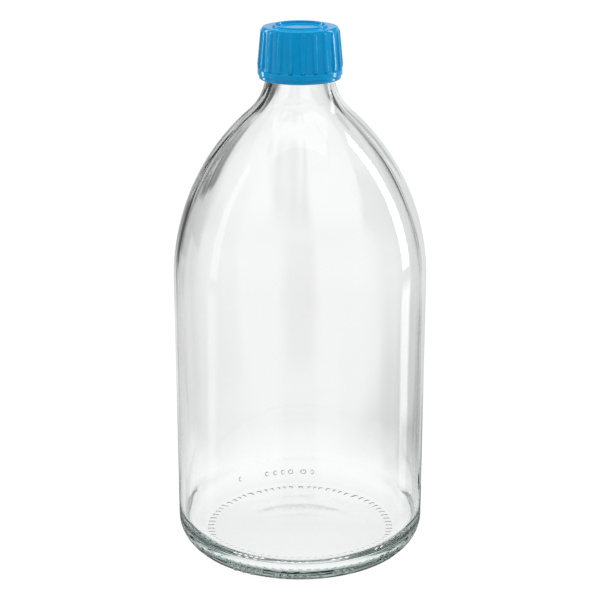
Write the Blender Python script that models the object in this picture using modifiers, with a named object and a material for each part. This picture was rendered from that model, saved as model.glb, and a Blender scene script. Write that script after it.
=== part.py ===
"""A one-litre round reagent bottle of clear glass, with a 28 mm screw neck, a pouring ring and a lined, ribbed
plastic screw cap. Metres, +Z up. The origin is the centre of the base, on the surface the bottle stands on.
"""

import math

import bmesh
import bpy
from mathutils import Matrix

COLLECTION = "reagent_bottle"

# Glass body. Its outer face is a heel arc, a straight wall, one long shoulder arc and a hollow neck arc.
BODY_RADIUS = 0.0492
HEEL_RADIUS = 0.0110
SHOULDER_START = 0.1105  # height at which the straight wall ends
SHOULDER_RADIUS = 0.0879
NECK_ARC_RADIUS = 0.0198
NECK_RADIUS = 0.0129
WALL = 0.0023
STANDING_RING_RADIUS = 0.0352  # inner edge of the flat ring on which the bottle rests
PUSH_UP = 0.0030  # rise of the domed middle of the base
BASE_THICKNESS = 0.0045
INNER_HEEL_RADIUS = 0.0100
INNER_HEEL_FLOOR = 0.0055  # lowest level of the inside, close to the wall

# Neck finish: a plain cylinder with a bead and one rounded screw thread.
MOUTH_HEIGHT = 0.2031
FINISH_RADIUS = 0.01245
BORE_RADIUS = 0.0096
BORE_BOTTOM = MOUTH_HEIGHT - 0.0086
MOUTH_ROUNDING = 0.0005
BEAD_RADIUS = 0.0134
BEAD_TOP = MOUTH_HEIGHT - 0.0095
BEAD_BOTTOM = MOUTH_HEIGHT - 0.0116

# Screw thread. The cap's ridge runs half a pitch below the glass's ridge.
PITCH = 0.0032
GLASS_RIDGE_RADIUS = 0.0126  # helix radius of the ridge's round section
GLASS_RIDGE_SECTION = 0.0010
GLASS_RIDGE_START = MOUTH_HEIGHT - 0.0070
GLASS_RIDGE_TURNS = 1.5
CAP_RIDGE_RADIUS = 0.01375
CAP_RIDGE_SECTION = 0.0008
CAP_RIDGE_TURNS = 1.75
RIDGE_POINTS_PER_TURN = 28
RIDGE_RUN_OUT = 0.12  # share of a turn over which a ridge fades into its wall

# What stacks up over the mouth, each with a small gap to the next.
GAP = 0.0003
RING_FLANGE_THICKNESS = 0.0008
RING_FLANGE_RADIUS = 0.0120
RING_BORE_RADIUS = 0.0081
RING_DEPTH = 0.0065  # how far the ring's sleeve reaches down into the neck
LINER_RADIUS = 0.0132
LINER_THICKNESS = 0.0015

# Screw cap. Its heights count from the lower edge of its lip.
CAP_BOTTOM = MOUTH_HEIGHT - 0.0146
CAP_LIP_TOP = CAP_BOTTOM + 0.0016
CAP_BAND_TOP = CAP_BOTTOM + 0.0039
CAP_SEAT_BOTTOM = CAP_BOTTOM + 0.0144
CAP_WALL_RADIUS = 0.01395  # inner wall that carries the thread
CAP_SEAT_RADIUS = 0.0135  # inner wall around the liner
CAP_PANEL_THICKNESS = 0.0014
CAP_LIP_RADIUS = 0.0155
CAP_BAND_RADIUS = 0.0160
CAP_SKIRT_BOTTOM_RADIUS = 0.0154  # skirt between the ribs, just above the band
CAP_SHOULDER_RADIUS = 0.01430  # skirt between the ribs, at the top
CAP_RIM_ROUNDING = 0.0008
CAP_RING_RADII = (0.0093, 0.0104)  # raised ring on the top panel
CAP_RING_HEIGHT = 0.0007
RIB_COUNT = 21
RIB_WIDTH = 0.0017
RIB_WIDEST_HEIGHT = CAP_BOTTOM + 0.0059
RIB_TOP = CAP_BOTTOM + 0.0184
RIB_TOP_RADIUS = 0.01485
RIB_WIDEST_RADIUS = 0.0161
RIB_BEVEL = 0.0003
RIB_ROOT_OVERLAP = 0.0004

BOTTLE_SEGMENTS = 48
CAP_SEGMENTS = 2 * RIB_COUNT
AXIS_MERGE = 0.00001

# Levels worked out from the stack over the mouth.
RING_TOP = MOUTH_HEIGHT + GAP + RING_FLANGE_THICKNESS
LINER_BOTTOM = RING_TOP + GAP
LINER_TOP = LINER_BOTTOM + LINER_THICKNESS
PANEL_BOTTOM = LINER_TOP + GAP
PANEL_TOP = PANEL_BOTTOM + CAP_PANEL_THICKNESS
CAP_RIM = PANEL_TOP + 0.0003


def clear_scene():
    for item in list(bpy.data.objects):
        bpy.data.objects.remove(item, do_unlink=True)


def new_collection(name):
    collection = bpy.data.collections.new(name)
    bpy.context.scene.collection.children.link(collection)
    return collection


def material(name, colour, roughness, transmission=0.0, ior=1.5):
    made = bpy.data.materials.new(name)
    made.use_nodes = True
    shader = made.node_tree.nodes["Principled BSDF"]
    shader.inputs["Base Color"].default_value = (*colour, 1.0)
    shader.inputs["Roughness"].default_value = roughness
    shader.inputs["Metallic"].default_value = 0.0
    shader.inputs["Transmission Weight"].default_value = transmission
    shader.inputs["IOR"].default_value = ior
    return made


def arc(centre, radius, start, end, steps):
    """Points on an arc in the (r, z) plane, both ends included, with its angles in degrees from the +r axis."""
    angles = [math.radians(start + (end - start) * i / steps) for i in range(steps + 1)]
    return [(centre[0] + radius * math.cos(a), centre[1] + radius * math.sin(a)) for a in angles]


def turned(name, outline, segments, closed, collection, finish):
    """A turned solid: the (r, z) outline, which runs down the outer side, swept round Z by a Screw modifier."""
    mesh = bpy.data.meshes.new(name)
    sketch = bmesh.new()
    points = [sketch.verts.new((r, 0.0, z)) for r, z in outline]
    for here, after in zip(points, points[1:] + points[:1] if closed else points[1:]):
        sketch.edges.new((here, after))
    sketch.to_mesh(mesh)
    sketch.free()
    solid = bpy.data.objects.new(name, mesh)
    collection.objects.link(solid)
    solid.data.materials.append(finish)
    screw = solid.modifiers.new("turn", "SCREW")
    screw.axis = "Z"
    screw.angle = 2 * math.pi
    screw.steps = segments
    screw.render_steps = segments
    screw.use_smooth_shade = True
    screw.use_merge_vertices = True
    screw.merge_threshold = AXIS_MERGE
    return solid


def mesh_of_curve(curve_object, name):
    """The curve as a mesh object with its caps welded on. The curve itself is removed."""
    bpy.context.view_layer.update()
    evaluated = curve_object.evaluated_get(bpy.context.evaluated_depsgraph_get())
    mesh = bpy.data.meshes.new_from_object(evaluated)
    welded = bmesh.new()
    welded.from_mesh(mesh)
    bmesh.ops.remove_doubles(welded, verts=welded.verts, dist=AXIS_MERGE)
    bmesh.ops.recalc_face_normals(welded, faces=welded.faces)
    welded.to_mesh(mesh)
    welded.free()
    made = bpy.data.objects.new(name, mesh)
    made.matrix_world = curve_object.matrix_world.copy()
    bpy.data.objects.remove(curve_object, do_unlink=True)
    return made


def as_helper(item, collection):
    """A shape that only serves a Boolean: not rendered, drawn as wire."""
    collection.objects.link(item)
    item.hide_render = True
    item.display_type = "WIRE"
    return item


def join(solid, helper):
    union = solid.modifiers.new(helper.name, "BOOLEAN")
    union.operation = "UNION"
    union.solver = "EXACT"
    union.object = helper


def thread_ridge(name, radius, section, start_height, turns, buried_radius, buried_share, collection):
    """A rounded right-hand helical ridge. Each end sinks into the wall, to buried_radius, as its section shrinks."""
    count = round(turns * RIDGE_POINTS_PER_TURN)
    curve = bpy.data.curves.new(name, "CURVE")
    curve.dimensions = "3D"
    curve.bevel_depth = section
    curve.bevel_resolution = 2
    curve.use_fill_caps = True
    spline = curve.splines.new("POLY")
    spline.points.add(count)
    for i, point in enumerate(spline.points):
        turn = turns * i / count
        shown = min(1.0, turn / RIDGE_RUN_OUT, (turns - turn) / RIDGE_RUN_OUT)
        out = buried_radius + (radius - buried_radius) * shown
        angle = 2 * math.pi * turn
        point.co = (out * math.cos(angle), out * math.sin(angle), start_height + PITCH * turn, 1.0)
        point.radius = buried_share + (1 - buried_share) * shown
    guide = bpy.data.objects.new(name + "_guide", curve)
    collection.objects.link(guide)
    return as_helper(mesh_of_curve(guide, name), collection)


def grip_ribs(collection):
    """All the cap's ribs as one helper: a bevelled flat outline of one rib, copied round the axis."""
    slope = (CAP_SKIRT_BOTTOM_RADIUS - CAP_SHOULDER_RADIUS) / (CAP_RIM - CAP_RIM_ROUNDING - CAP_BAND_TOP)
    foot = CAP_BAND_TOP - 0.0008
    foot_radius = CAP_SKIRT_BOTTOM_RADIUS - RIB_ROOT_OVERLAP
    outline = [
        (foot_radius, foot),
        (CAP_BAND_RADIUS - 0.0001, foot),
        (RIB_WIDEST_RADIUS, RIB_WIDEST_HEIGHT),
        (RIB_TOP_RADIUS, RIB_TOP - 0.0004),
        (RIB_TOP_RADIUS - 0.0003, RIB_TOP),
        (foot_radius - slope * (RIB_TOP - foot), RIB_TOP),
    ]
    curve = bpy.data.curves.new("grip_rib", "CURVE")
    curve.dimensions = "2D"
    curve.fill_mode = "BOTH"
    curve.extrude = RIB_WIDTH / 2 - RIB_BEVEL
    curve.bevel_depth = RIB_BEVEL
    curve.bevel_resolution = 0
    curve.offset = -RIB_BEVEL
    spline = curve.splines.new("POLY")
    spline.points.add(len(outline) - 1)
    for point, (r, z) in zip(spline.points, outline):
        point.co = (r, z, 0.0, 1.0)
    spline.use_cyclic_u = True
    guide = bpy.data.objects.new("grip_rib_guide", curve)
    guide.rotation_euler = (math.radians(90), 0.0, 0.0)
    collection.objects.link(guide)
    rib = mesh_of_curve(guide, "grip_rib")
    rib.data.transform(rib.matrix_world)
    ring = bmesh.new()
    for i in range(RIB_COUNT):
        copy = rib.data.copy()
        copy.transform(Matrix.Rotation(2 * math.pi * i / RIB_COUNT, 4, "Z"))
        ring.from_mesh(copy)
        bpy.data.meshes.remove(copy)
    mesh = bpy.data.meshes.new("grip_ribs")
    ring.to_mesh(mesh)
    ring.free()
    bpy.data.objects.remove(rib, do_unlink=True)
    return as_helper(bpy.data.objects.new("grip_ribs", mesh), collection)


def shoulder_geometry():
    """Centres of the shoulder arc and of the neck arc, and the angle at which the two meet."""
    shoulder = (BODY_RADIUS - SHOULDER_RADIUS, SHOULDER_START)
    across = NECK_RADIUS + NECK_ARC_RADIUS - shoulder[0]
    up = math.sqrt((SHOULDER_RADIUS + NECK_ARC_RADIUS) ** 2 - across**2)
    neck = (NECK_RADIUS + NECK_ARC_RADIUS, SHOULDER_START + up)
    return shoulder, neck, math.degrees(math.atan2(up, across))


def glass_outline():
    """From the middle of the inside floor up the inner face, over the mouth and down the outer face."""
    shoulder, neck, meeting = shoulder_geometry()
    inner_radius = BODY_RADIUS - WALL
    inner_heel = (inner_radius - INNER_HEEL_RADIUS, INNER_HEEL_FLOOR + INNER_HEEL_RADIUS)
    floor_middle = PUSH_UP + BASE_THICKNESS
    inside = [(0.0, floor_middle), (0.5 * inner_heel[0], INNER_HEEL_FLOOR + 0.75 * (floor_middle - INNER_HEEL_FLOOR))]
    inside += arc(inner_heel, INNER_HEEL_RADIUS, -90, 0, 5)
    inside += arc(shoulder, SHOULDER_RADIUS - WALL, 0, meeting, 9)
    inside += arc(neck, NECK_ARC_RADIUS + WALL, 180 + meeting, 180, 5)[1:]
    mouth = [(BORE_RADIUS, BORE_BOTTOM), (BORE_RADIUS, MOUTH_HEIGHT - MOUTH_ROUNDING)]
    mouth += arc((BORE_RADIUS + MOUTH_ROUNDING, MOUTH_HEIGHT - MOUTH_ROUNDING), MOUTH_ROUNDING, 180, 90, 2)[1:]
    mouth += arc((FINISH_RADIUS - MOUTH_ROUNDING, MOUTH_HEIGHT - MOUTH_ROUNDING), MOUTH_ROUNDING, 90, 0, 2)
    bead = [
        (FINISH_RADIUS, BEAD_TOP),
        (BEAD_RADIUS, BEAD_TOP - 0.0004),
        (BEAD_RADIUS, BEAD_BOTTOM + 0.0004),
        (NECK_RADIUS, BEAD_BOTTOM),
    ]
    outside = arc(neck, NECK_ARC_RADIUS, 180, 180 + meeting, 6)
    outside += arc(shoulder, SHOULDER_RADIUS, meeting, 0, 11)[1:]
    outside += arc((BODY_RADIUS - HEEL_RADIUS, HEEL_RADIUS), HEEL_RADIUS, 0, -90, 7)
    base = [(STANDING_RING_RADIUS, 0.0), (STANDING_RING_RADIUS - 0.0015, 0.0007)]
    base += [(0.5 * STANDING_RING_RADIUS, 0.8 * PUSH_UP), (0.0, PUSH_UP)]
    return inside + mouth + bead + outside + base


def pouring_ring_outline():
    sleeve = BORE_RADIUS - GAP
    return [
        (RING_FLANGE_RADIUS - 0.0002, RING_TOP),
        (RING_FLANGE_RADIUS, RING_TOP - 0.0002),
        (RING_FLANGE_RADIUS, MOUTH_HEIGHT + GAP),
        (sleeve, MOUTH_HEIGHT + GAP),
        (sleeve, RING_TOP - RING_DEPTH + 0.0010),
        (sleeve - 0.0004, RING_TOP - RING_DEPTH),
        (RING_BORE_RADIUS + 0.0003, RING_TOP - RING_DEPTH),
        (RING_BORE_RADIUS, RING_TOP - RING_DEPTH + 0.0010),
        (RING_BORE_RADIUS, RING_TOP),
    ]


def liner_outline():
    chamfer = 0.0002
    return [
        (0.0, LINER_TOP),
        (LINER_RADIUS - chamfer, LINER_TOP),
        (LINER_RADIUS, LINER_TOP - chamfer),
        (LINER_RADIUS, LINER_BOTTOM + chamfer),
        (LINER_RADIUS - chamfer, LINER_BOTTOM),
        (0.0, LINER_BOTTOM),
    ]


def cap_outline():
    """From the middle of the top panel out and down the skirt, then up the inside to the panel's underside."""
    ring_inner, ring_outer = CAP_RING_RADII
    top = [
        (0.0, PANEL_TOP),
        (ring_inner - 0.0002, PANEL_TOP),
        (ring_inner, CAP_RIM + CAP_RING_HEIGHT),
        (ring_outer, CAP_RIM + CAP_RING_HEIGHT),
        (ring_outer + 0.0002, CAP_RIM),
    ]
    rim = (CAP_SHOULDER_RADIUS - CAP_RIM_ROUNDING, CAP_RIM - CAP_RIM_ROUNDING)
    top += arc(rim, CAP_RIM_ROUNDING, 90, 0, 3)
    skirt = [
        (CAP_SKIRT_BOTTOM_RADIUS, CAP_BAND_TOP),
        (CAP_BAND_RADIUS, CAP_BAND_TOP - 0.0003),
        (CAP_BAND_RADIUS, CAP_LIP_TOP + 0.0002),
        (CAP_LIP_RADIUS, CAP_LIP_TOP),
        (CAP_LIP_RADIUS, CAP_BOTTOM + 0.0006),
        (CAP_LIP_RADIUS - 0.0005, CAP_BOTTOM),
    ]
    inside = [
        (CAP_WALL_RADIUS + 0.0004, CAP_BOTTOM),
        (CAP_WALL_RADIUS, CAP_BOTTOM + 0.0006),
        (CAP_WALL_RADIUS, CAP_SEAT_BOTTOM - 0.0007),
        (CAP_SEAT_RADIUS, CAP_SEAT_BOTTOM),
        (CAP_SEAT_RADIUS, PANEL_BOTTOM),
        (0.0, PANEL_BOTTOM),
    ]
    return top + skirt + inside


def glass_bottle(parts, helpers):
    finish = material("clear_glass", (0.93, 0.97, 0.95), 0.02, transmission=1.0, ior=1.52)
    solid = turned("glass_bottle", glass_outline(), BOTTLE_SEGMENTS, False, parts, finish)
    ridge = thread_ridge(
        "glass_thread", GLASS_RIDGE_RADIUS, GLASS_RIDGE_SECTION, GLASS_RIDGE_START, GLASS_RIDGE_TURNS,
        FINISH_RADIUS - 0.0010, 0.6, helpers,
    )
    join(solid, ridge)


def pouring_ring(parts):
    finish = material("natural_polyethylene", (0.90, 0.90, 0.87), 0.35)
    turned("pouring_ring", pouring_ring_outline(), BOTTLE_SEGMENTS, True, parts, finish)


def cap_liner(parts):
    finish = material("liner_foam", (0.86, 0.86, 0.84), 0.7)
    turned("cap_liner", liner_outline(), CAP_SEGMENTS, False, parts, finish)


def screw_cap(parts, helpers):
    finish = material("blue_polypropylene", (0.002, 0.242, 0.552), 0.25)
    solid = turned("screw_cap", cap_outline(), CAP_SEGMENTS, False, parts, finish)
    join(solid, grip_ribs(helpers))
    ridge = thread_ridge(
        "cap_thread", CAP_RIDGE_RADIUS, CAP_RIDGE_SECTION, GLASS_RIDGE_START - PITCH / 2, CAP_RIDGE_TURNS,
        CAP_WALL_RADIUS + 0.0004, 0.4, helpers,
    )
    join(solid, ridge)


def main():
    clear_scene()
    parts = new_collection(COLLECTION)
    helpers = new_collection("joining_shapes")
    glass_bottle(parts, helpers)
    pouring_ring(parts)
    cap_liner(parts)
    screw_cap(parts, helpers)


main()
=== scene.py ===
"""The looks of the reagent bottle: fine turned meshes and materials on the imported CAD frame.

Metres, +Z up.
"""

import math

import bpy
import numpy as np
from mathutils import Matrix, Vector

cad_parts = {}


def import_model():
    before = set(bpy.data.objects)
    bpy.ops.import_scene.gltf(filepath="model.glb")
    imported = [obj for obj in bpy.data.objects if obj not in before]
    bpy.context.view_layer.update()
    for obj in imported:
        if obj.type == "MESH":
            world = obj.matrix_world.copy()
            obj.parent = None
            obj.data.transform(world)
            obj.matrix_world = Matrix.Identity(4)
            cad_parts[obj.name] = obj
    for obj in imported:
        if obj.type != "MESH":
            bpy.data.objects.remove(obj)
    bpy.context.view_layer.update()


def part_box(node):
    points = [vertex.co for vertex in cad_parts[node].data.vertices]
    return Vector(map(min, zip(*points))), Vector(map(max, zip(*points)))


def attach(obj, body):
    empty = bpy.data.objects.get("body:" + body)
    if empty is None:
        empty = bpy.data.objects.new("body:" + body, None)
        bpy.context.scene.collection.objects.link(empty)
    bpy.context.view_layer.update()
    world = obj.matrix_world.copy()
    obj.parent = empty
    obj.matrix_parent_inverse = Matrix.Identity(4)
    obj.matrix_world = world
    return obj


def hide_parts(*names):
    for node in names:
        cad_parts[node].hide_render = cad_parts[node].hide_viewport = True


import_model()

MM = 0.001

# ---------------------------------------------------------------- sizes taken from the frame
GLASS_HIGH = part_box("glass_bottle")[1]
RING_LOW, RING_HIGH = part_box("pouring_ring")
LINER_LOW, LINER_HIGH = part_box("cap_liner")
CAP_LOW, CAP_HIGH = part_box("screw_cap")
BODY_RADIUS = GLASS_HIGH.x
MOUTH = GLASS_HIGH.z
CAP_FOOT = CAP_LOW.z
CAP_CREST = CAP_HIGH.z

# ---------------------------------------------------------------- glass
# As the CAD has it, but for a lower push-up and a wall that is uneven and thickens towards the neck.
HEEL_RADIUS = 11.0 * MM
SHOULDER_START = 110.5 * MM
SHOULDER_RADIUS = 87.9 * MM
NECK_ARC_RADIUS = 19.8 * MM
NECK_RADIUS = 12.9 * MM
WALL = 2.3 * MM
NECK_THICKENING = 1.0 * MM  # how much thicker the blown wall gets towards the neck
NECK_UNEVENNESS = 0.3 * MM  # and how much more of that it gets on one side
WAVE_COUNTS = (2, 3, 5, 7, 11, 13, 17, 23, 31)  # waves of the inner face in one turn round it
WAVE_DEPTH = 0.34 * MM
WAVE_SHARE = 0.6
FLOOR_RIPPLE = 0.02 * MM
STANDING_RING_RADIUS = 35.2 * MM
PUSH_UP = 1.8 * MM
BASE_THICKNESS = 4.5 * MM
INNER_HEEL_RADIUS = 10.0 * MM
INNER_HEEL_FLOOR = 5.5 * MM
FINISH_RADIUS = 12.45 * MM
BORE_RADIUS = 9.6 * MM
BORE_CONE_BOTTOM = MOUTH - 10.2 * MM
BORE_CONE_TOP = MOUTH - 8.0 * MM
FINISH_START = MOUTH - 1.2 * MM  # where the inner face's outline ends and the outer one's starts
BEAD_RADIUS = 13.4 * MM
BEAD_TOP = MOUTH - 9.5 * MM
BEAD_BOTTOM = MOUTH - 11.6 * MM

PITCH = 3.2 * MM
GLASS_RIDGE_START = MOUTH - 7.0 * MM
GLASS_RIDGE_TURNS = 1.5
GLASS_RIDGE_HEIGHT = 1.15 * MM
GLASS_RIDGE_HALF_WIDTH = 0.98 * MM
CAP_RIDGE_START = GLASS_RIDGE_START - PITCH / 2
CAP_RIDGE_TURNS = 1.75
CAP_RIDGE_HEIGHT = 1.0 * MM
CAP_RIDGE_HALF_WIDTH = 0.78 * MM
RIDGE_RUN_OUT = 0.12  # share of a turn over which a ridge fades out

GLASS_SEGMENTS = 720
KNURL_COUNT = 72
KNURL_RADII = (35.3 * MM, 38.0 * MM)
KNURL_EDGE = 0.4 * MM
KNURL_DEPTH = 0.30 * MM
SEAM_ANGLES = (-21.0, 159.0)  # the two mould seams, in degrees from +X
SEAM_WIDTH = 0.28 * MM
SEAM_RELIEF = 0.04 * MM
PLATE_SEAM_HEIGHT = 2.2 * MM
PLATE_SEAM_WIDTH = 0.22 * MM
PLATE_SEAM_RELIEF = 0.09 * MM
DOT_RELIEF = 0.8 * MM
BAR_RELIEF = 0.5 * MM
BACK_DOT_RELIEF = 1.0 * MM

# ---------------------------------------------------------------- cap, as the CAD has it
RIB_COUNT = 21
CAP_SEGMENTS = 28 * RIB_COUNT
CAP_WALL_RADIUS = 13.95 * MM
CAP_SEAT_RADIUS = 13.5 * MM
CAP_LIP_RADIUS = 15.5 * MM
CAP_BAND_RADIUS = 16.0 * MM
CAP_SKIRT_RADII = (15.4 * MM, 14.3 * MM)  # between the ribs, at the band and at the rim
CAP_LIP_TOP = CAP_FOOT + 1.6 * MM
CAP_BAND_TOP = CAP_FOOT + 3.9 * MM
CAP_SEAT_BOTTOM = CAP_FOOT + 14.4 * MM
CAP_PANEL_TOP = CAP_CREST - 1.0 * MM
CAP_PANEL_BOTTOM = CAP_PANEL_TOP - 1.4 * MM
CAP_RIM = CAP_CREST - 0.7 * MM
RIB_TOP = CAP_FOOT + 18.4 * MM
RIB_WIDEST_HEIGHT = CAP_FOOT + 5.9 * MM
RIB_CREST_RADII = (16.1 * MM, 14.85 * MM)  # at the widest height and at the ribs' top


# ---------------------------------------------------------------- outlines
def smooth_step(low, high, value):
    t = np.clip((value - low) / (high - low), 0.0, 1.0)
    return t * t * (3 - 2 * t)


def arc(centre, radius, start, end, spacing):
    """Points on an arc in the (r, z) plane, both ends included. Angles are in degrees from +r."""
    length = abs(math.radians(end - start)) * radius
    angles = np.radians(np.linspace(start, end, max(2, math.ceil(length / spacing) + 1)))
    return np.column_stack([centre[0] + radius * np.cos(angles), centre[1] + radius * np.sin(angles)])


def line(start, end, spacing):
    """Evenly spaced points from start to end, both included."""
    steps = max(1, math.ceil(math.dist(start, end) / spacing))
    return np.linspace(start, end, steps + 1)


def rounded(corners, spacing, arc_spacing=0.12 * MM):
    """A polyline of (r, z, fillet radius) corners with each corner rounded and its straight runs divided."""
    points = [np.array(c[:2], float) for c in corners]
    runs = []
    here = points[0]
    for before, corner, after, (_, _, radius) in zip(points, points[1:], points[2:], corners[1:]):
        to_before = (before - corner) / np.linalg.norm(before - corner)
        to_after = (after - corner) / np.linalg.norm(after - corner)
        half = math.acos(np.clip(to_before @ to_after, -1, 1)) / 2
        if radius <= 0 or half > math.radians(89.5):
            runs.append(line(here, corner, spacing))
            here = corner
            continue
        reach = radius / math.tan(half)
        bisector = (to_before + to_after) / np.linalg.norm(to_before + to_after)
        centre = corner + bisector * radius / math.sin(half)
        start = corner + to_before * reach
        end = corner + to_after * reach
        a, b = (math.atan2(*(p - centre)[::-1]) for p in (start, end))
        b = a + (b - a + math.pi) % (2 * math.pi) - math.pi
        runs.append(line(here, start, spacing))
        runs.append(arc(centre, radius, math.degrees(a), math.degrees(b), arc_spacing))
        here = end
    runs.append(line(here, points[-1], spacing))
    return joined(*runs)


def joined(*runs):
    """Runs of points end to end, with coincident neighbours dropped."""
    points = np.concatenate(runs)
    steps = np.linalg.norm(np.diff(points, axis=0), axis=1)
    return points[np.concatenate([[True], steps > 0.002 * MM])]


def outward(outline):
    """Unit normals of an outline that runs down the outer side."""
    along = np.gradient(outline, axis=0)
    along /= np.linalg.norm(along, axis=1)[:, None]
    return np.column_stack([-along[:, 1], along[:, 0]])


def turned_mesh(name, outline, segments, shape=None, closed=False):
    """A mesh turned from an outline. shape(theta, r, z) says how far each point stands out of it."""
    theta = np.linspace(0, 2 * np.pi, segments, endpoint=False)
    ends = [] if closed else [0, len(outline) - 1]
    rows = [i for i in range(len(outline)) if i not in ends]
    rings = outline[rows]
    normals = outward(outline)[rows]
    t, r = np.meshgrid(theta, rings[:, 0])
    z = np.broadcast_to(rings[:, 1:2], r.shape)
    rise = np.zeros_like(r) if shape is None else shape(t, r, z)
    radius = r + rise * normals[:, 0:1]
    height = z + rise * normals[:, 1:2]
    points = np.stack([radius * np.cos(t), radius * np.sin(t), height], axis=-1).reshape(-1, 3)
    row_count = len(rows)
    upper = np.arange(row_count if closed else row_count - 1)
    lower = (upper + 1) % row_count
    column = np.arange(segments)
    after = (column + 1) % segments
    quads = np.stack(
        [
            upper[:, None] * segments + column,
            lower[:, None] * segments + column,
            lower[:, None] * segments + after,
            upper[:, None] * segments + after,
        ],
        axis=-1,
    ).reshape(-1, 4)
    faces = quads.tolist()
    if not closed:
        top, bottom = len(points), len(points) + 1
        points = np.vstack([points, [[0, 0, outline[0, 1]], [0, 0, outline[-1, 1]]]])
        last = (row_count - 1) * segments
        faces += [[top, i, (i + 1) % segments] for i in range(segments)]
        faces += [[bottom, last + (i + 1) % segments, last + i] for i in range(segments)]
    mesh = bpy.data.meshes.new(name)
    mesh.from_pydata(points.tolist(), [], faces)
    mesh.validate()
    mesh.shade_smooth()
    return mesh


def helix_ridge(theta, z, start, turns, height, half_width):
    """How far a rounded helical ridge of that many turns stands out at each (theta, z)."""
    best = np.zeros_like(z)
    turn0 = np.mod(theta, 2 * np.pi) / (2 * np.pi)
    for whole in range(math.ceil(turns) + 1):
        turn = turn0 + whole
        fade = smooth_step(0, RIDGE_RUN_OUT, turn) * smooth_step(0, RIDGE_RUN_OUT, turns - turn)
        away = np.abs(z - start - PITCH * turn) / half_width
        best = np.maximum(best, fade * height * np.sqrt(np.clip(1 - away**2, 0, 1)) ** 1.3)
    return best


# ---------------------------------------------------------------- glass bottle
def shoulder_geometry():
    shoulder = (BODY_RADIUS - SHOULDER_RADIUS, SHOULDER_START)
    across = NECK_RADIUS + NECK_ARC_RADIUS - shoulder[0]
    up = math.sqrt((SHOULDER_RADIUS + NECK_ARC_RADIUS) ** 2 - across**2)
    neck = (NECK_RADIUS + NECK_ARC_RADIUS, SHOULDER_START + up)
    return shoulder, neck, math.degrees(math.atan2(up, across))


def glass_inside():
    """The inner face, from the middle of the floor up to the bore."""
    shoulder, neck, meeting = shoulder_geometry()
    radius = BODY_RADIUS - WALL
    heel = (radius - INNER_HEEL_RADIUS, INNER_HEEL_FLOOR + INNER_HEEL_RADIUS)
    middle = PUSH_UP + BASE_THICKNESS
    r = np.linspace(0, heel[0], 32)
    bulge = (middle - INNER_HEEL_FLOOR) * (1 + np.cos(np.pi * r / heel[0])) / 2
    floor = np.column_stack([r, INNER_HEEL_FLOOR + bulge])
    neck_inner = (NECK_RADIUS - WALL, neck[1])
    bore = rounded(
        [(*neck_inner, 0), (neck_inner[0], BORE_CONE_BOTTOM, 1.5 * MM),
         (BORE_RADIUS, BORE_CONE_TOP, 1.5 * MM), (BORE_RADIUS, MOUTH, 0.5 * MM),
         (FINISH_RADIUS, MOUTH, 0.5 * MM), (FINISH_RADIUS, FINISH_START, 0)],
        0.5 * MM,
    )
    return joined(
        floor,
        arc(heel, INNER_HEEL_RADIUS, -90, 0, 0.5 * MM),
        line((radius, heel[1]), (radius, SHOULDER_START), 2.0 * MM),
        arc(shoulder, SHOULDER_RADIUS - WALL, 0, meeting, 1.2 * MM),
        arc(neck, NECK_ARC_RADIUS + WALL, 180 + meeting, 180, 0.7 * MM),
        bore,
    )


def glass_outside():
    """The outer face, from just under the mouth down to the middle of the base."""
    shoulder, neck, meeting = shoulder_geometry()
    finish = rounded(
        [(FINISH_RADIUS, FINISH_START, 0), (FINISH_RADIUS, BEAD_TOP, 0.4 * MM),
         (BEAD_RADIUS, BEAD_TOP - 0.3 * MM, 0.5 * MM), (BEAD_RADIUS, BEAD_BOTTOM + 0.3 * MM, 0.5 * MM),
         (NECK_RADIUS, BEAD_BOTTOM, 0.3 * MM), (NECK_RADIUS, neck[1], 0)],
        0.18 * MM,
    )
    heel = (BODY_RADIUS - HEEL_RADIUS, HEEL_RADIUS)
    standing = line((heel[0], 0.0), (STANDING_RING_RADIUS, 0.0), 0.25 * MM)
    r = np.linspace(STANDING_RING_RADIUS, 0, 60)
    dome = np.column_stack([r, PUSH_UP * smooth_step(0, STANDING_RING_RADIUS, STANDING_RING_RADIUS - r)])
    return joined(
        finish,
        arc(neck, NECK_ARC_RADIUS, 180, 180 + meeting, 0.6 * MM),
        arc(shoulder, SHOULDER_RADIUS, meeting, 0, 1.2 * MM),
        line((BODY_RADIUS, SHOULDER_START), (BODY_RADIUS, HEEL_RADIUS), 2.0 * MM),
        arc(heel, HEEL_RADIUS, 0, -90, 0.33 * MM),
        standing,
        dome,
    )


def angle_from(theta, degrees):
    """Signed angle from a direction given in degrees, between -pi and pi."""
    return (theta - math.radians(degrees) + np.pi) % (2 * np.pi) - np.pi


def heel_marks():
    """Raised dots and short bars of a mould code: (degrees, height, half width, half height, relief)."""
    marks = []
    for degrees in np.arange(-124.0, -106.0, 3.0):
        marks.append((degrees, 6.4 * MM, 0.85 * MM, 0.8 * MM, DOT_RELIEF))
    for degrees in np.arange(-122.5, -109.0, 4.5):
        marks.append((degrees, 3.9 * MM, 0.65 * MM, 0.65 * MM, DOT_RELIEF))
    for degrees in np.arange(-101.0, -83.0, 3.6):
        marks.append((degrees, 4.4 * MM, 0.9 * MM, 0.7 * MM, DOT_RELIEF))
    for degrees in (-73.0, -69.5, -66.0):
        marks.append((degrees, 5.6 * MM, 0.9 * MM, 0.7 * MM, DOT_RELIEF))
    for degrees in (-49.0, -45.5):
        marks.append((degrees, 7.0 * MM, 0.6 * MM, 1.3 * MM, BAR_RELIEF))
    for degrees in (84.0, 89.0, 94.0, 99.0, 104.0, 109.0, 124.0):
        marks.append((degrees, 5.4 * MM, 0.9 * MM, 0.9 * MM, BACK_DOT_RELIEF))
    return marks


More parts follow.
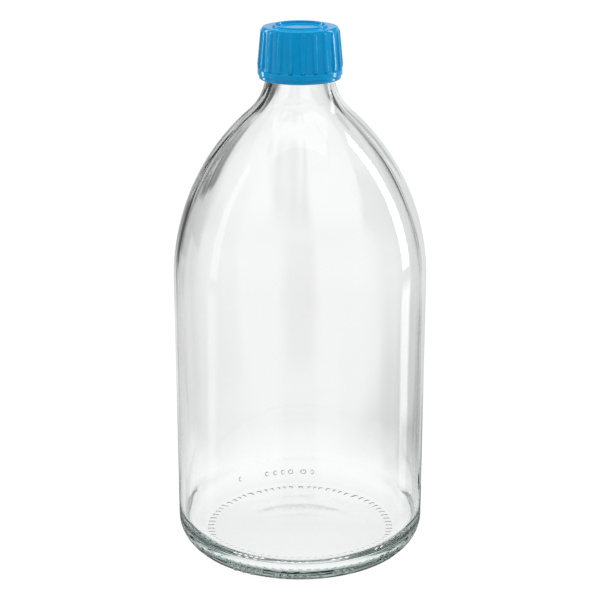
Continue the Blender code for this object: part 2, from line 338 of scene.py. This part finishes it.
def mould_code(theta, r, z):
    code = np.zeros_like(r)
    for degrees, height, half_width, half_height, relief in heel_marks():
        across = angle_from(theta, degrees) * r / half_width
        up = (z - height) / half_height
        code = np.maximum(code, relief * np.clip(1 - (across**2 + up**2) / 1.3, 0, 1) ** 0.45)
    return code


def wall_waves(theta, r, z):
    """Blown glass is a little thicker here and there: broad and fine waves of the inner face."""
    draws = np.random.default_rng(7)
    wavy = np.zeros_like(r)
    for count in WAVE_COUNTS:
        depth = WAVE_DEPTH / count**0.9
        phase, drift = draws.uniform(0, 2 * np.pi), draws.uniform(-0.9, 0.9)
        tilt = draws.uniform(12, 40)
        wavy += depth * np.sin(count * theta + phase + drift * np.sin(z * tilt + phase))
    return wavy


def inner_relief(theta, r, z):
    """The waves of the wall, its thickening towards the neck, and a faint ripple of the floor."""
    above_floor = smooth_step(14 * MM, 40 * MM, z) * (1 - smooth_step(165 * MM, 190 * MM, z))
    rise = np.where(r > 5 * MM, WAVE_SHARE * wall_waves(theta, r, z) * above_floor, 0)
    below_finish = 1 - smooth_step(MOUTH - 13 * MM, BEAD_TOP, z)
    to_neck = smooth_step(90 * MM, 165 * MM, z) * below_finish
    rise += (NECK_THICKENING + NECK_UNEVENNESS * np.cos(theta)) * to_neck
    ripple = FLOOR_RIPPLE * np.sin(5 * theta + 140 * r) * smooth_step(0, 12 * MM, r)
    return rise + np.where(z < 14 * MM, ripple, 0)


def outer_relief(theta, r, z):
    """The thread, the mould seams, the mould code and the knurled ring that the bottle stands on."""
    ridge = helix_ridge(
        theta, z, GLASS_RIDGE_START, GLASS_RIDGE_TURNS, GLASS_RIDGE_HEIGHT, GLASS_RIDGE_HALF_WIDTH
    )
    rise = np.where(z > BEAD_TOP, ridge, 0)
    seam = sum(np.exp(-((angle_from(theta, a) * r / SEAM_WIDTH) ** 2)) for a in SEAM_ANGLES)
    on_side = smooth_step(4 * MM, 7 * MM, z) * (1 - smooth_step(BEAD_BOTTOM - 3 * MM, BEAD_BOTTOM, z))
    rise += SEAM_RELIEF * seam * on_side
    plate_seam = PLATE_SEAM_RELIEF * np.exp(-(((z - PLATE_SEAM_HEIGHT) / PLATE_SEAM_WIDTH) ** 2))
    on_heel = (z < 12 * MM) & (r > BODY_RADIUS - HEEL_RADIUS)
    rise += np.where(on_heel, mould_code(theta, r, z) + plate_seam, 0)
    notch = smooth_step(0.25, 0.75, np.cos(KNURL_COUNT * theta))
    first, last = KNURL_RADII
    on_ring = smooth_step(first, first + KNURL_EDGE, r) * (1 - smooth_step(last - KNURL_EDGE, last, r))
    return rise - np.where(z < 0.5 * MM, KNURL_DEPTH * notch * on_ring, 0)


def glass_bottle():
    inside, outside = glass_inside(), glass_outside()
    outline = joined(inside, outside)
    mouth_row = int(np.argmax(outline[:, 1] > MOUTH - 0.6 * MM))

    def relief(theta, r, z):
        rows = np.arange(1, len(outline) - 1)[:, None]
        return np.where(rows < mouth_row, inner_relief(theta, r, z), outer_relief(theta, r, z))

    mesh = turned_mesh("glass_bottle_fine", outline, GLASS_SEGMENTS, relief)
    return add_piece(mesh, glass_material(), "bottle", "glass_bottle")


# ---------------------------------------------------------------- pouring ring and liner
def pouring_ring():
    flange = RING_HIGH.x
    sleeve = BORE_RADIUS - 0.3 * MM
    bore = 8.1 * MM
    top, bottom = RING_HIGH.z, RING_LOW.z
    under = MOUTH + 0.3 * MM
    start = ((bore + flange) / 2, top)
    outline = rounded(
        [(*start, 0), (flange, top, 0.3 * MM), (flange, under, 0.15 * MM), (sleeve, under, 0.1 * MM),
         (sleeve, bottom + 1.0 * MM, 0.3 * MM), (sleeve - 0.4 * MM, bottom, 0.2 * MM),
         (bore + 0.3 * MM, bottom, 0.2 * MM), (bore, bottom + 1.0 * MM, 0.3 * MM), (bore, top, 0.35 * MM),
         (*start, 0)],
        0.4 * MM, 0.06 * MM,
    )[:-1]

    def beads(theta, r, z):
        """Two soft sealing beads round the sleeve, inside the gap to the bore."""
        levels = (bottom + 2.4 * MM, bottom + 4.0 * MM)
        bead = sum(np.exp(-(((z - level) / (0.35 * MM)) ** 2)) for level in levels)
        return np.where((r > sleeve - 0.1 * MM) & (z < under), 0.12 * MM * bead, 0)

    mesh = turned_mesh("pouring_ring_fine", outline, 288, beads, closed=True)
    return add_piece(mesh, polyethylene_material(), "bottle", "pouring_ring")


def cap_liner():
    radius = LINER_HIGH.x
    top, bottom = LINER_HIGH.z, LINER_LOW.z
    outline = rounded(
        [(0, top, 0), (radius, top, 0.25 * MM), (radius, bottom, 0.25 * MM), (0, bottom, 0)],
        0.4 * MM, 0.06 * MM,
    )

    def pressed(theta, r, z):
        """The ring that the mouth has pressed into the underside."""
        groove = np.exp(-(((r - 11.0 * MM) / (0.7 * MM)) ** 2))
        return np.where(z < bottom + 0.1 * MM, -0.12 * MM * groove, 0)

    mesh = turned_mesh("cap_liner_fine", outline, 288, pressed)
    return add_piece(mesh, foam_material(), "liner", "cap_liner")


# ---------------------------------------------------------------- screw cap
def cap_outline():
    """From the middle of the panel out and down the skirt, then up the inside to the panel's underside."""
    skirt_low, skirt_top = CAP_SKIRT_RADII
    outside = rounded(
        [(0, CAP_PANEL_TOP, 0), (9.15 * MM, CAP_PANEL_TOP, 0.25 * MM), (9.35 * MM, CAP_CREST, 0.3 * MM),
         (10.3 * MM, CAP_CREST, 0.3 * MM), (10.55 * MM, CAP_RIM, 0.3 * MM), (skirt_top, CAP_RIM, 0.9 * MM),
         (skirt_low, CAP_BAND_TOP, 0.3 * MM), (CAP_BAND_RADIUS, CAP_BAND_TOP - 0.25 * MM, 0.25 * MM),
         (CAP_BAND_RADIUS, CAP_LIP_TOP + 0.15 * MM, 0.35 * MM), (CAP_LIP_RADIUS, CAP_LIP_TOP, 0.12 * MM),
         (CAP_LIP_RADIUS, CAP_FOOT, 0.7 * MM), (CAP_WALL_RADIUS + 0.5 * MM, CAP_FOOT, 0)],
        0.3 * MM, 0.08 * MM,
    )
    inside = rounded(
        [(CAP_WALL_RADIUS + 0.5 * MM, CAP_FOOT, 0), (CAP_WALL_RADIUS, CAP_FOOT + 0.6 * MM, 0.3 * MM),
         (CAP_WALL_RADIUS, CAP_SEAT_BOTTOM - 0.7 * MM, 0.2 * MM),
         (CAP_SEAT_RADIUS, CAP_SEAT_BOTTOM, 0.2 * MM), (CAP_SEAT_RADIUS, CAP_PANEL_BOTTOM, 0.4 * MM),
         (0, CAP_PANEL_BOTTOM, 0)],
        0.3 * MM, 0.12 * MM,
    )
    return outside, inside


def cap_relief(theta, r, z, inside):
    """The ribs of the grip outside, and the thread inside."""
    skirt_low, skirt_top = CAP_SKIRT_RADII
    crest_low, crest_top = RIB_CREST_RADII
    up = np.clip((z - CAP_BAND_TOP) / (CAP_RIM - CAP_BAND_TOP), 0, 1)
    root = skirt_low + (skirt_top - skirt_low) * up
    rising = np.clip((z - RIB_WIDEST_HEIGHT) / (RIB_TOP - RIB_WIDEST_HEIGHT), 0, 1)
    falling = np.clip((RIB_WIDEST_HEIGHT - z) / (RIB_WIDEST_HEIGHT - CAP_BAND_TOP), 0, 1)
    crest = crest_low + (crest_top - crest_low) * rising - (crest_low - CAP_BAND_RADIUS) * falling
    spacing = 2 * np.pi / RIB_COUNT
    across = np.abs((theta + spacing / 2) % spacing - spacing / 2) * r
    # A rib is a rounded bar whose top end is rounded as well.
    past_end = np.maximum(0, z - (RIB_TOP - 0.85 * MM))
    rib = 1 - smooth_step(0.55 * MM, 0.98 * MM, np.hypot(across, past_end))
    outer = ~inside & (r > skirt_top - 0.6 * MM) & (z > CAP_BAND_TOP)
    rise = np.where(outer, np.maximum(0, crest - root) * rib, 0)
    in_thread = inside & (z > CAP_FOOT + 1 * MM) & (z < CAP_SEAT_BOTTOM - 0.7 * MM) & (r > CAP_SEAT_RADIUS)
    ridge = helix_ridge(theta, z, CAP_RIDGE_START, CAP_RIDGE_TURNS, CAP_RIDGE_HEIGHT, CAP_RIDGE_HALF_WIDTH)
    return rise + np.where(in_thread, ridge, 0)


def screw_cap():
    outside, inside = cap_outline()
    outline = joined(outside, inside)
    inner_from = len(outside)

    def relief(theta, r, z):
        rows = np.arange(1, len(outline) - 1)[:, None]
        return cap_relief(theta, r, z, np.broadcast_to(rows >= inner_from, r.shape))

    mesh = turned_mesh("screw_cap_fine", outline, CAP_SEGMENTS, relief)
    return add_piece(mesh, polypropylene_material(), "cap", "screw_cap")


def add_piece(mesh, finish, body, node):
    """Puts the mesh in the scene in place of its CAD node, riding on its body."""
    piece = bpy.data.objects.new(mesh.name, mesh)
    bpy.context.scene.collection.objects.link(piece)
    mesh.materials.append(finish)
    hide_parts(node)
    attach(piece, body)
    return piece


# ---------------------------------------------------------------- materials
def new_material(name):
    made = bpy.data.materials.new(name)
    made.use_nodes = True
    return made, made.node_tree.nodes, made.node_tree.links


def noise(nodes, links, scale, detail=3.0, roughness=0.5, stretch=(1, 1, 1)):
    """Noise over the object's own coordinates, stretched along some axes."""
    place = nodes.new("ShaderNodeTexCoord")
    mapping = nodes.new("ShaderNodeMapping")
    mapping.inputs["Scale"].default_value = stretch
    made = nodes.new("ShaderNodeTexNoise")
    made.inputs["Scale"].default_value = scale
    made.inputs["Detail"].default_value = detail
    made.inputs["Roughness"].default_value = roughness
    links.new(place.outputs["Object"], mapping.inputs["Vector"])
    links.new(mapping.outputs["Vector"], made.inputs["Vector"])
    return made.outputs["Fac"]


def ramp(nodes, links, factor, low, high, start=0.3, end=0.7):
    """A colour between low and high as factor goes from start to end."""
    made = nodes.new("ShaderNodeValToRGB")
    made.color_ramp.elements[0].position = start
    made.color_ramp.elements[1].position = end
    made.color_ramp.elements[0].color = (*low, 1)
    made.color_ramp.elements[1].color = (*high, 1)
    links.new(factor, made.inputs["Fac"])
    return made.outputs["Color"]


def ranged(nodes, links, factor, low, high, start=0.3, end=0.7):
    made = nodes.new("ShaderNodeMapRange")
    made.inputs["From Min"].default_value = start
    made.inputs["From Max"].default_value = end
    made.inputs["To Min"].default_value = low
    made.inputs["To Max"].default_value = high
    links.new(factor, made.inputs["Value"])
    return made.outputs["Result"]


def bump(nodes, links, height, distance, strength=1.0):
    made = nodes.new("ShaderNodeBump")
    made.inputs["Distance"].default_value = distance
    made.inputs["Strength"].default_value = strength
    links.new(height, made.inputs["Height"])
    return made.outputs["Normal"]


def glass_material():
    """Clear soda-lime glass: greenish through its thickness, with the faint skin ripple of a mould."""
    made, nodes, links = new_material("clear_glass_look")
    shader = nodes["Principled BSDF"]
    shader.inputs["Base Color"].default_value = (1, 1, 1, 1)
    shader.inputs["Transmission Weight"].default_value = 1.0
    shader.inputs["Roughness"].default_value = 0.0
    shader.inputs["IOR"].default_value = 1.52
    ripple = noise(nodes, links, 60, 2.0, 0.4, (1, 1, 0.18))
    links.new(bump(nodes, links, ripple, 0.35 * MM, 0.35), shader.inputs["Normal"])
    depth = nodes.new("ShaderNodeVolumeAbsorption")
    depth.inputs["Color"].default_value = (0.66, 0.90, 0.84, 1)
    depth.inputs["Density"].default_value = 7.0
    links.new(depth.outputs["Volume"], nodes["Material Output"].inputs["Volume"])
    return made


def polypropylene_material():
    """Glossy injection-moulded blue polypropylene with a faint flow mottle and fine handling scratches."""
    made, nodes, links = new_material("blue_polypropylene_look")
    shader = nodes["Principled BSDF"]
    mottle = noise(nodes, links, 180, 4.0, 0.6)
    links.new(
        ramp(nodes, links, mottle, (0.0, 0.290, 0.605), (0.0, 0.325, 0.665)), shader.inputs["Base Color"]
    )
    handled = noise(nodes, links, 420, 4.0, 0.6)
    links.new(ranged(nodes, links, handled, 0.07, 0.13), shader.inputs["Roughness"])
    shader.inputs["IOR"].default_value = 1.5
    shader.inputs["Subsurface Weight"].default_value = 0.05
    shader.inputs["Subsurface Radius"].default_value = (0.2, 0.6, 1.0)
    shader.inputs["Subsurface Scale"].default_value = 0.8 * MM
    scratches = noise(nodes, links, 900, 2.0, 0.5, (1, 1, 0.08))
    links.new(bump(nodes, links, scratches, 0.03 * MM, 0.35), shader.inputs["Normal"])
    return made


def polyethylene_material():
    """Milky natural polyethylene."""
    made, nodes, links = new_material("natural_polyethylene_look")
    shader = nodes["Principled BSDF"]
    cloud = noise(nodes, links, 260, 3.0, 0.5)
    links.new(ramp(nodes, links, cloud, (0.80, 0.81, 0.79), (0.88, 0.89, 0.87)), shader.inputs["Base Color"])
    links.new(ranged(nodes, links, cloud, 0.28, 0.42), shader.inputs["Roughness"])
    shader.inputs["Subsurface Weight"].default_value = 0.35
    shader.inputs["Subsurface Radius"].default_value = (1.0, 1.0, 0.9)
    shader.inputs["Subsurface Scale"].default_value = 1.2 * MM
    links.new(bump(nodes, links, noise(nodes, links, 1200, 2.0), 0.02 * MM, 0.4), shader.inputs["Normal"])
    return made


def foam_material():
    """Fine-celled white foam with a calendered skin."""
    made, nodes, links = new_material("liner_foam_look")
    shader = nodes["Principled BSDF"]
    cells = nodes.new("ShaderNodeTexVoronoi")
    cells.inputs["Scale"].default_value = 3200
    place = nodes.new("ShaderNodeTexCoord")
    links.new(place.outputs["Object"], cells.inputs["Vector"])
    links.new(
        ramp(nodes, links, cells.outputs["Distance"], (0.78, 0.78, 0.76), (0.90, 0.90, 0.88), 0.0, 0.6),
        shader.inputs["Base Color"],
    )
    shader.inputs["Roughness"].default_value = 0.62
    links.new(bump(nodes, links, cells.outputs["Distance"], 0.06 * MM, 0.5), shader.inputs["Normal"])
    return made


# ---------------------------------------------------------------- studio
# Clear glass shows its surroundings. They are given by direction round the bottle, as (degrees from +X,
# radiance) with +90 behind the bottle. The camera itself sees them evenly white.
# First, what rays meet that have come through the glass: on the paper at growing distances, and beyond it. On
# the paper this is painted surroundings, whose dark bands are painted shade for the glass's edges.
SEEN_NEAR = (
    (0, 0.4), (45, 0.3), (52, 0.2), (57, 0.3), (61, 0.55), (73, 0.7), (78, 0.84), (84, 0.88),
    (98, 0.88), (106, 0.82), (112, 0.76), (115, 0.68), (119, 0.68), (122, 0.76), (134, 0.82),
    (165, 0.92), (196, 0.92), (207, 0.85), (250, 0.85), (260, 0.3), (280, 0.3), (290, 0.85), (335, 0.9),
    (345, 0.5), (360, 0.4),
)
SEEN_FURTHER = (
    (0, 0.4), (45, 0.4), (52, 0.55), (60, 0.8), (68, 0.75), (76, 0.84), (84, 0.92), (97, 0.92),
    (108, 0.75), (112, 0.6), (114, 0.15), (119, 0.15), (122, 0.65), (134, 0.8), (165, 0.92),
    (250, 0.85), (260, 0.1), (280, 0.1), (290, 0.85), (335, 0.9), (345, 0.5), (360, 0.4),
)
SEEN_FAR = (
    (0, 0.4), (40, 0.4), (46, 0.35), (58, 0.5), (62, 0.75), (78, 0.82), (83, 0.82), (84.5, 0.97),
    (89.5, 0.97), (90.4, 0.84), (91.8, 0.84), (92.7, 0.97), (97, 0.97), (99, 0.84), (104, 0.78),
    (110, 0.62), (112.5, 0.02), (126, 0.02), (130, 0.6), (160, 0.8), (166, 0.93), (196, 0.93),
    (207, 0.85), (250, 0.85), (258, 0.05), (282, 0.05), (290, 0.9), (335, 0.9), (345, 0.5), (360, 0.4),
)
SEEN_DISTANT = (
    (0, 0.4), (40, 0.4), (46, 0.25), (58, 0.25), (62, 0.7), (78, 0.82), (84, 0.95), (97, 0.95),
    (100, 0.65), (104, 0.02), (140, 0.02), (144, 0.6), (160, 0.8), (166, 0.93), (196, 0.93),
    (207, 0.85), (250, 0.85), (258, 0.05), (282, 0.05), (290, 0.9), (335, 0.9), (345, 0.5), (360, 0.4),
)
SEEN_AT_HORIZON = (
    (0, 0.3), (28, 0.4), (36, 0.5), (46, 0.6), (49, 0.02), (57, 0.02), (61, 0.5), (72, 0.55),
    (78, 0.75), (84, 0.93), (96, 0.93), (103, 0.75), (110, 0.65), (128, 0.6), (131, 0.02), (160, 0.02),
    (166, 0.9), (196, 0.95), (207, 0.85), (250, 0.85), (258, 0.05), (282, 0.05), (290, 0.9), (335, 0.9),
    (345, 0.4), (360, 0.3),
)
SEEN_ABOVE_HORIZON = (
    (0, 0.3), (26, 0.3), (38, 0.1), (56, 0.1), (60, 0.6), (72, 0.6), (84, 0.9), (96, 0.9), (106, 0.5),
    (112, 0.02), (165, 0.02), (172, 0.6), (207, 0.6), (250, 0.6), (258, 0.05), (282, 0.05), (290, 0.6),
    (335, 0.6), (345, 0.4), (360, 0.3),
)
SEEN_BENEATH = 0.99
SEEN_OVERHEAD = 0.52
# Distances over which one pattern on the paper gives way to the next.
BENEATH_TO_NEAR = (0.07, 0.13)
NEAR_TO_FURTHER = (0.33, 0.42)
FURTHER_TO_FAR = (0.50, 0.60)
FAR_TO_DISTANT = (0.82, 0.92)
# Heights of a direction over which one pattern of the world gives way to the next.
HORIZON_TO_ABOVE = (0.11, 0.17)
ABOVE_TO_OVERHEAD = (0.32, 0.42)
# Then, what rays meet that a surface has mirrored. On the paper its bright bands are painted reflections of
# the softboxes.
MIRRORED = (
    (0, 0.12), (12, 0.12), (15, 3.3), (25, 3.3), (29, 0.1), (45, 0.3), (60, 0.6), (80, 0.6), (100, 0.6),
    (108, 0.75), (114, 0.6), (118, 0.1), (177, 0.1), (182, 1.3), (188, 1.3), (195, 0.1), (210, 0.15),
    (250, 0.15), (258, 0.02), (282, 0.02), (290, 0.15), (335, 0.15), (348, 0.1), (360, 0.12),
)
MIRRORED_FAR = tuple((degrees, min(radiance, 0.6)) for degrees, radiance in MIRRORED)
MIRRORED_SHARES = (0.1, 1.0)  # the share of it that is left beneath the bottle, and away from it
MIRRORED_BENEATH_TO_NEAR = (0.09, 0.20)
MIRRORED_NEAR_TO_FAR = (0.42, 0.60)
MIRRORED_OVERHEAD = 0.08  # the share of it that is left well above the horizon
MIRRORED_TO_OVERHEAD = (0.20, 0.32)
MIRRORING_SIDE = (0.84 * BODY_RADIUS, -0.54 * BODY_RADIUS)  # where on its side the bottle mirrors the lights
BRIGHTEST = 4.0
AMBIENT = 0.95  # what lights matt surfaces from above
PAPER_GLOW = 0.6  # and from below
PAPER_ALBEDO = 0.05
BACKDROP_WHITE = 1.02
PAPER_WHITE = 0.98
PAPER_HALF_WIDTH = 6.0
PAPER_GAP = 0.15 * MM
STRIP = (0.13, 0.75)  # width and height of an upright softbox
NARROW_STRIP = (0.10, 0.75)
STRIP_FOOT = 0.03
TOP_SIZE = (1.2, 1.2)
TOP_HEIGHT = 1.2
TOP_TILT = -7.0  # degrees
BOUNCES = 24  # enough for light to leave the thick glass of the heel
FOCAL_LENGTH = 96.55  # millimetres, on a sensor 36 mm wide
CAMERA_PLACE = (0.0, -0.6008, 0.2971)
LOOKING_DOWN = 18.10  # degrees


def math_node(nodes, links, operation, *values, clamp=False):
    made = nodes.new("ShaderNodeMath")
    made.operation = operation
    made.use_clamp = clamp
    for socket, value in zip(made.inputs, values):
        if isinstance(value, (int, float)):
            socket.default_value = value
        else:
            links.new(value, socket)
    return made.outputs["Value"]


def around(nodes, links, x, y, stops):
    """Radiance by direction round the bottle."""
    turn = math_node(nodes, links, "DIVIDE", math_node(nodes, links, "ARCTAN2", y, x), 2 * math.pi)
    turn = math_node(nodes, links, "FRACT", turn)
    made = nodes.new("ShaderNodeValToRGB")
    elements = made.color_ramp.elements
    for degrees, _ in stops[2:]:
        elements.new(degrees / 360)
    for element, (degrees, radiance) in zip(elements, stops):
        element.position = degrees / 360
        element.color = (radiance / BRIGHTEST,) * 3 + (1,)
    links.new(turn, made.inputs["Fac"])
    return math_node(nodes, links, "MULTIPLY", made.outputs["Color"], BRIGHTEST)


def mixed(nodes, links, share, low, high):
    """low where share is 0, high where it is 1."""
    return math_node(nodes, links, "MULTIPLY_ADD", share, math_node(nodes, links, "SUBTRACT", high, low), low)


def by_ray(nodes, links, camera, through, mirrored, matt):
    """camera, through, mirrored or matt, by what kind of ray asks. Sampled lights ask as matt ones do."""
    path = nodes.new("ShaderNodeLightPath")
    reflected, scattered = path.outputs["Is Reflection Ray"], path.outputs["Is Diffuse Ray"]
    is_mirrored = math_node(nodes, links, "SUBTRACT", reflected, scattered, clamp=True)
    result = mixed(nodes, links, path.outputs["Is Camera Ray"], matt, camera)
    result = mixed(nodes, links, path.outputs["Is Transmission Ray"], result, through)
    return mixed(nodes, links, is_mirrored, result, mirrored)


def world():
    made = bpy.data.worlds.new("studio")
    made.use_nodes = True
    nodes, links = made.node_tree.nodes, made.node_tree.links
    place = nodes.new("ShaderNodeTexCoord")
    split = nodes.new("ShaderNodeSeparateXYZ")
    links.new(place.outputs["Generated"], split.inputs["Vector"])
    x, y = split.outputs["X"], split.outputs["Y"]
    above = ranged(nodes, links, split.outputs["Z"], 0.0, 1.0, *HORIZON_TO_ABOVE)
    overhead = ranged(nodes, links, split.outputs["Z"], 0.0, 1.0, *ABOVE_TO_OVERHEAD)
    through = around(nodes, links, x, y, SEEN_AT_HORIZON)
    through = mixed(nodes, links, above, through, around(nodes, links, x, y, SEEN_ABOVE_HORIZON))
    through = mixed(nodes, links, overhead, through, SEEN_OVERHEAD)
    level = ranged(nodes, links, split.outputs["Z"], 1.0, MIRRORED_OVERHEAD, *MIRRORED_TO_OVERHEAD)
    mirrored = math_node(nodes, links, "MULTIPLY", around(nodes, links, x, y, MIRRORED_FAR), level)
    strength = by_ray(nodes, links, BACKDROP_WHITE, through, mirrored, AMBIENT)
    nodes["Background"].inputs["Color"].default_value = (1, 1, 1, 1)
    links.new(strength, nodes["Background"].inputs["Strength"])
    bpy.context.scene.world = made


def floor_material():
    """White paper that glows evenly for the camera, and shows the glass the studio round the bottle as
    painted surroundings: painted shade bands through the glass, painted reflections in its gloss.
    """
    made, nodes, links = new_material("floor_paper")
    paper = nodes["Principled BSDF"]
    paper.inputs["Base Color"].default_value = (PAPER_ALBEDO,) * 3 + (1,)
    paper.inputs["Roughness"].default_value = 1.0
    paper.inputs["Specular IOR Level"].default_value = 0.0
    place = nodes.new("ShaderNodeNewGeometry")
    split = nodes.new("ShaderNodeSeparateXYZ")
    links.new(place.outputs["Position"], split.inputs["Vector"])
    x, y = split.outputs["X"], split.outputs["Y"]
    reach = nodes.new("ShaderNodeVectorMath")
    reach.operation = "LENGTH"
    links.new(place.outputs["Position"], reach.inputs["Vector"])
    reach = reach.outputs["Value"]
    further = ranged(nodes, links, reach, 0.0, 1.0, *NEAR_TO_FURTHER)
    far = ranged(nodes, links, reach, 0.0, 1.0, *FURTHER_TO_FAR)
    distant = ranged(nodes, links, reach, 0.0, 1.0, *FAR_TO_DISTANT)
    away = ranged(nodes, links, reach, 0.0, 1.0, *BENEATH_TO_NEAR)
    # Painted shade: the paper's glow seen through the glass has dark bands that darken the glass's edges.
    through = around(nodes, links, x, y, SEEN_NEAR)
    through = mixed(nodes, links, further, through, around(nodes, links, x, y, SEEN_FURTHER))
    through = mixed(nodes, links, far, through, around(nodes, links, x, y, SEEN_FAR))
    through = mixed(nodes, links, distant, through, around(nodes, links, x, y, SEEN_DISTANT))
    through = mixed(nodes, links, away, SEEN_BENEATH, through)
    # Painted reflections: directions of what the sides mirror, as they are at the sides and not at the middle
    # of the bottle.
    side = math_node(nodes, links, "MULTIPLY", math_node(nodes, links, "SIGN", x), MIRRORING_SIDE[0])
    x = math_node(nodes, links, "SUBTRACT", x, side)
    y = math_node(nodes, links, "SUBTRACT", y, MIRRORING_SIDE[1])
    fade = ranged(nodes, links, reach, *MIRRORED_SHARES, *MIRRORED_BENEATH_TO_NEAR)
    beyond = ranged(nodes, links, reach, 0.0, 1.0, *MIRRORED_NEAR_TO_FAR)
    mirrored = around(nodes, links, x, y, MIRRORED)
    mirrored = mixed(nodes, links, beyond, mirrored, around(nodes, links, x, y, MIRRORED_FAR))
    mirrored = math_node(nodes, links, "MULTIPLY", mirrored, fade)
    strength = by_ray(nodes, links, PAPER_WHITE, through, mirrored, PAPER_GLOW)
    paper.inputs["Emission Color"].default_value = (1, 1, 1, 1)
    links.new(strength, paper.inputs["Emission Strength"])
    return made


def floor():
    half = PAPER_HALF_WIDTH
    corners = [(-half, -half, 0), (half, -half, 0), (half, half, 0), (-half, half, 0)]
    mesh = bpy.data.meshes.new("studio_floor")
    mesh.from_pydata(corners, [], [(0, 1, 2, 3)])
    made = bpy.data.objects.new("studio_floor", mesh)
    made.location.z = -PAPER_GAP
    mesh.materials.append(floor_material())
    bpy.context.scene.collection.objects.link(made)


def softbox(name, direction, distance, size, foot, radiance):
    """An upright strip light at a direction in degrees from +X. Only gloss and matt surfaces see it."""
    width, height = size
    light = bpy.data.lights.new(name, "AREA")
    light.shape = "RECTANGLE"
    light.size, light.size_y = size
    light.energy = radiance * math.pi * width * height
    made = bpy.data.objects.new(name, light)
    angle = math.radians(direction)
    made.location = (distance * math.cos(angle), distance * math.sin(angle), foot + height / 2)
    target = Vector((0, 0, made.location.z))
    made.rotation_euler = (target - made.location).to_track_quat("-Z", "Y").to_euler()
    made.visible_camera = False
    made.visible_transmission = False
    bpy.context.scene.collection.objects.link(made)
    return made


def only_on(light, piece):
    """Makes the light reach just that piece."""
    lit = bpy.data.collections.new(light.name + "_receivers")
    lit.objects.link(piece)
    light.light_linking.receiver_collection = lit


def studio(glass, cap):
    world()
    floor()
    softbox("softbox_right", 17, 0.65, STRIP, STRIP_FOOT, 5.0)
    only_on(softbox("softbox_left", 150, 0.65, STRIP, STRIP_FOOT, 5.0), cap)
    only_on(softbox("softbox_left_front", 190, 0.70, NARROW_STRIP, STRIP_FOOT, 1.2), glass)
    top = softbox("softbox_top", 90, 0.15, TOP_SIZE, 0.0, 1.0)
    top.location.z = TOP_HEIGHT
    top.rotation_euler = (math.radians(TOP_TILT), 0, 0)
    bpy.context.scene.view_settings.view_transform = "Standard"
    cycles = bpy.context.scene.cycles
    cycles.max_bounces = cycles.transmission_bounces = cycles.glossy_bounces = BOUNCES


def camera():
    """Looks down at the bottle from the front."""
    lens = bpy.data.cameras.new("camera")
    lens.sensor_width = 36.0
    lens.lens = FOCAL_LENGTH
    made = bpy.data.objects.new("camera", lens)
    made.location = CAMERA_PLACE
    made.rotation_euler = (math.radians(90 - LOOKING_DOWN), 0, 0)
    bpy.context.scene.collection.objects.link(made)
    bpy.context.scene.camera = made


camera()
glass = glass_bottle()
pouring_ring()
cap_liner()
studio(glass, screw_cap())
